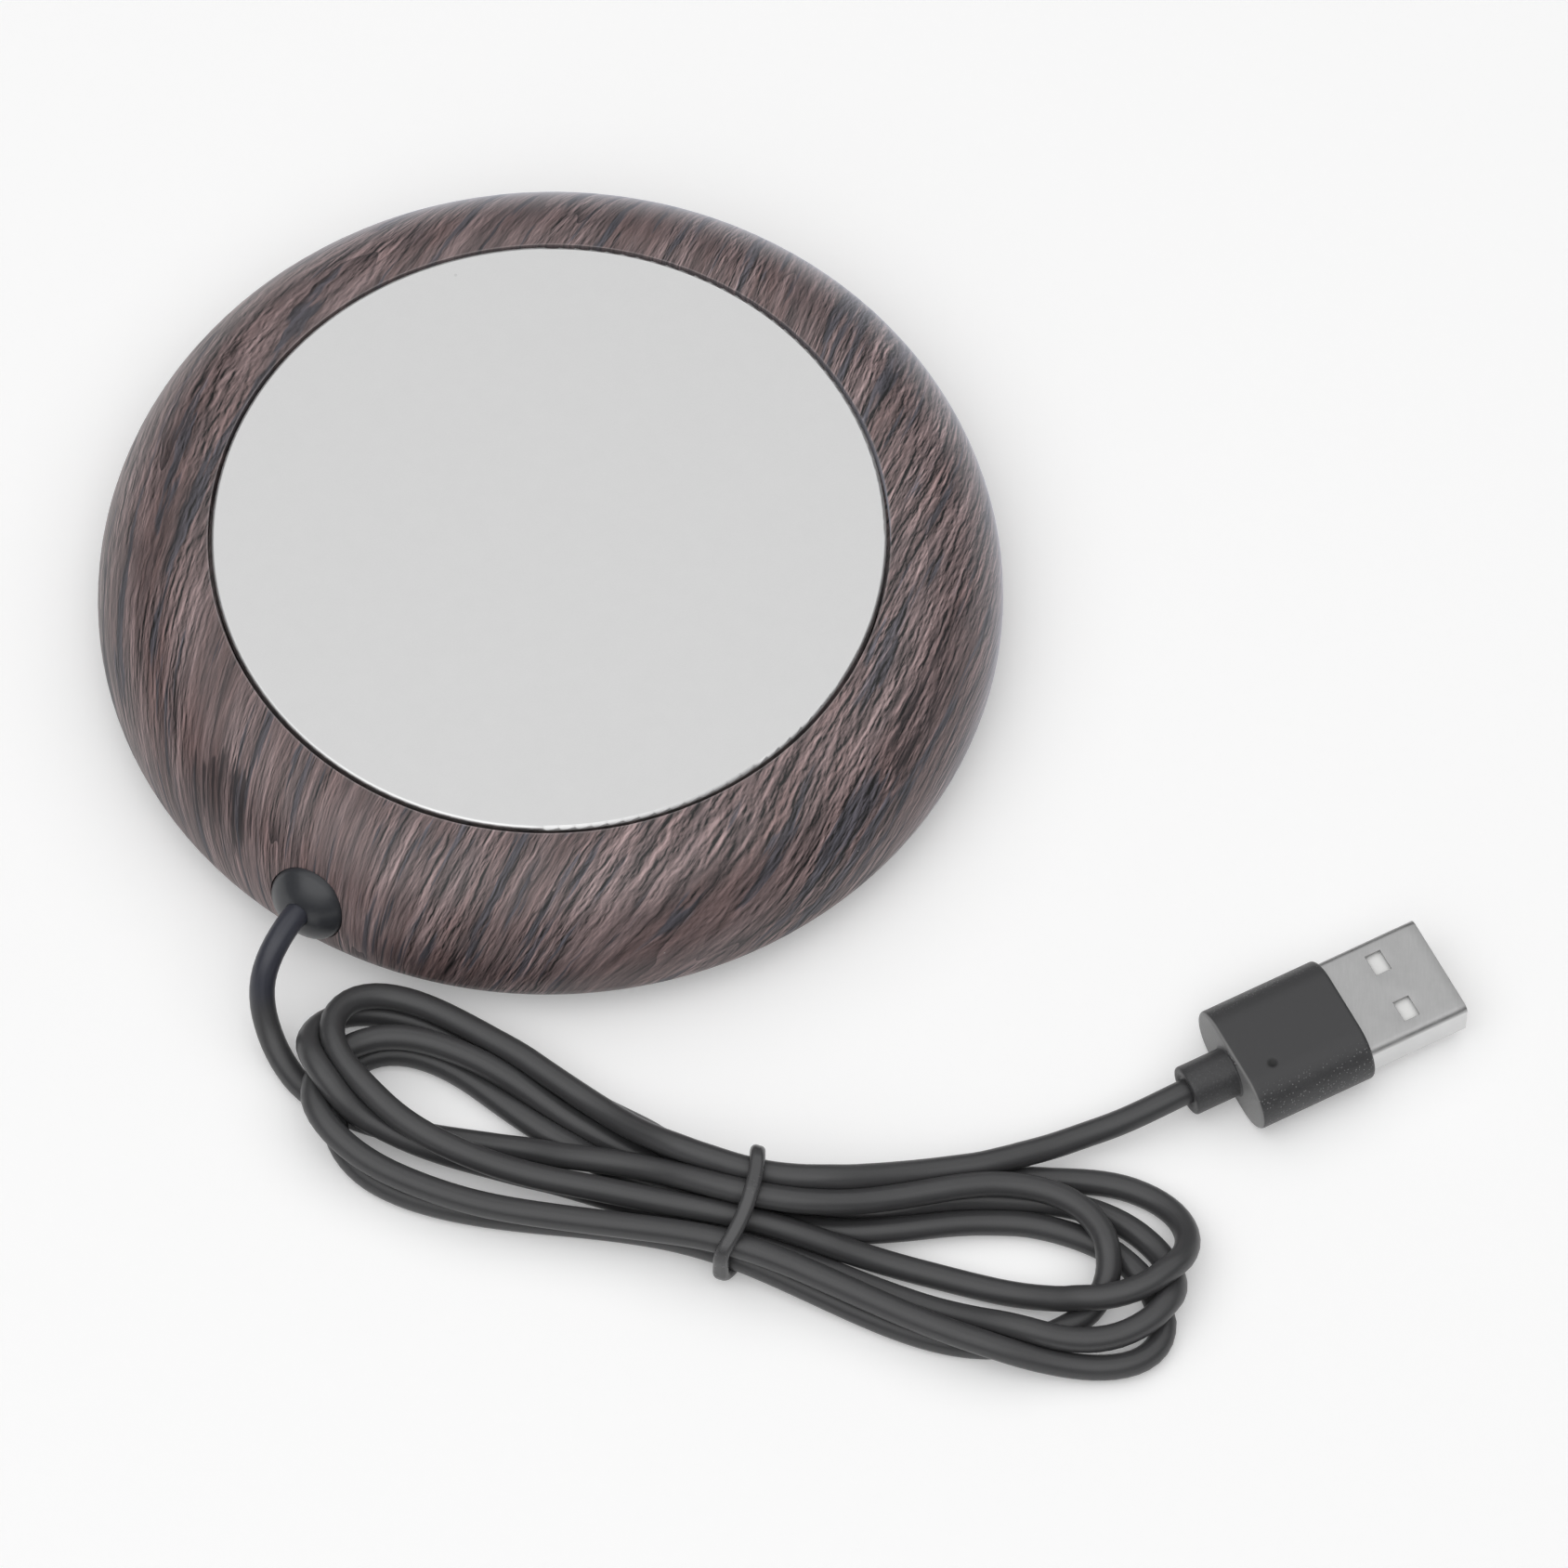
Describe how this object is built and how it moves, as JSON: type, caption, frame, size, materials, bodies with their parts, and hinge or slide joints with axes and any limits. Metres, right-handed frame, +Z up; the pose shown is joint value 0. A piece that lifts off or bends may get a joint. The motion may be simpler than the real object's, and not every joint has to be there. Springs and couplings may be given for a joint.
{
  "type": "electric mug warmer",
  "caption": "Round moulded mug warmer with a flat metal heating plate in its top, rubber feet, and a fixed USB cord folded in a tied hank.",
  "frame": {"origin": "centre of the circle the rubber feet stand on, at the height of the surface the warmer stands on", "axes": "+Z up out of the heating plate, +X to the right and +Y away from the side where the cord lies"},
  "size_m": [0.1501, 0.144, 0.0183],
  "materials": {
    "shell": "matte wood-grain film on moulded plastic",
    "base": "fine matte moulded",
    "plate": "light satin",
    "gasket": "matte silicone",
    "film": "amber film",
    "track": "etched foil",
    "cutout": "matte",
    "pad": "pressed fibre",
    "retainer": "zinc plated",
    "screws": "zinc plated",
    "red_wire": "soft sheen",
    "black_wire": "soft sheen",
    "sleeves": "shrunk sleeve",
    "feet": "matte",
    "grommet": "satin",
    "cord": "satin jacket",
    "tie": "smooth",
    "handle": "fine spark texture",
    "usb_metal": "nickel plated, satin",
    "tongue": "white",
    "contacts": "gold plated"
  },
  "bodies": {
    "root": {"top_shell": "shell", "base_cover": "base", "heating_plate": "plate", "plate_gasket": "gasket", "heater_film": "film", "heater_track": "track", "thermal_cutout": "cutout", "insulation_pad": "pad", "retainer_plate": "retainer", "retainer_screws": "screws", "heater_lead_red": "red_wire", "heater_lead_black": "black_wire", "splice_sleeves": "sleeves", "base_screws": "screws", "rubber_feet": "feet", "cord_grommet": "grommet", "cord_inside": "cord", "cord_clamp": "base", "clamp_screws": "screws", "cord_lead": "cord", "cord_hank": "cord", "cord_tail": "cord", "cord_tie": "tie", "usb_overmould": "handle", "usb_shell": "usb_metal", "usb_tongue": "tongue", "usb_contacts": "contacts"}
  },
  "joints": []
}
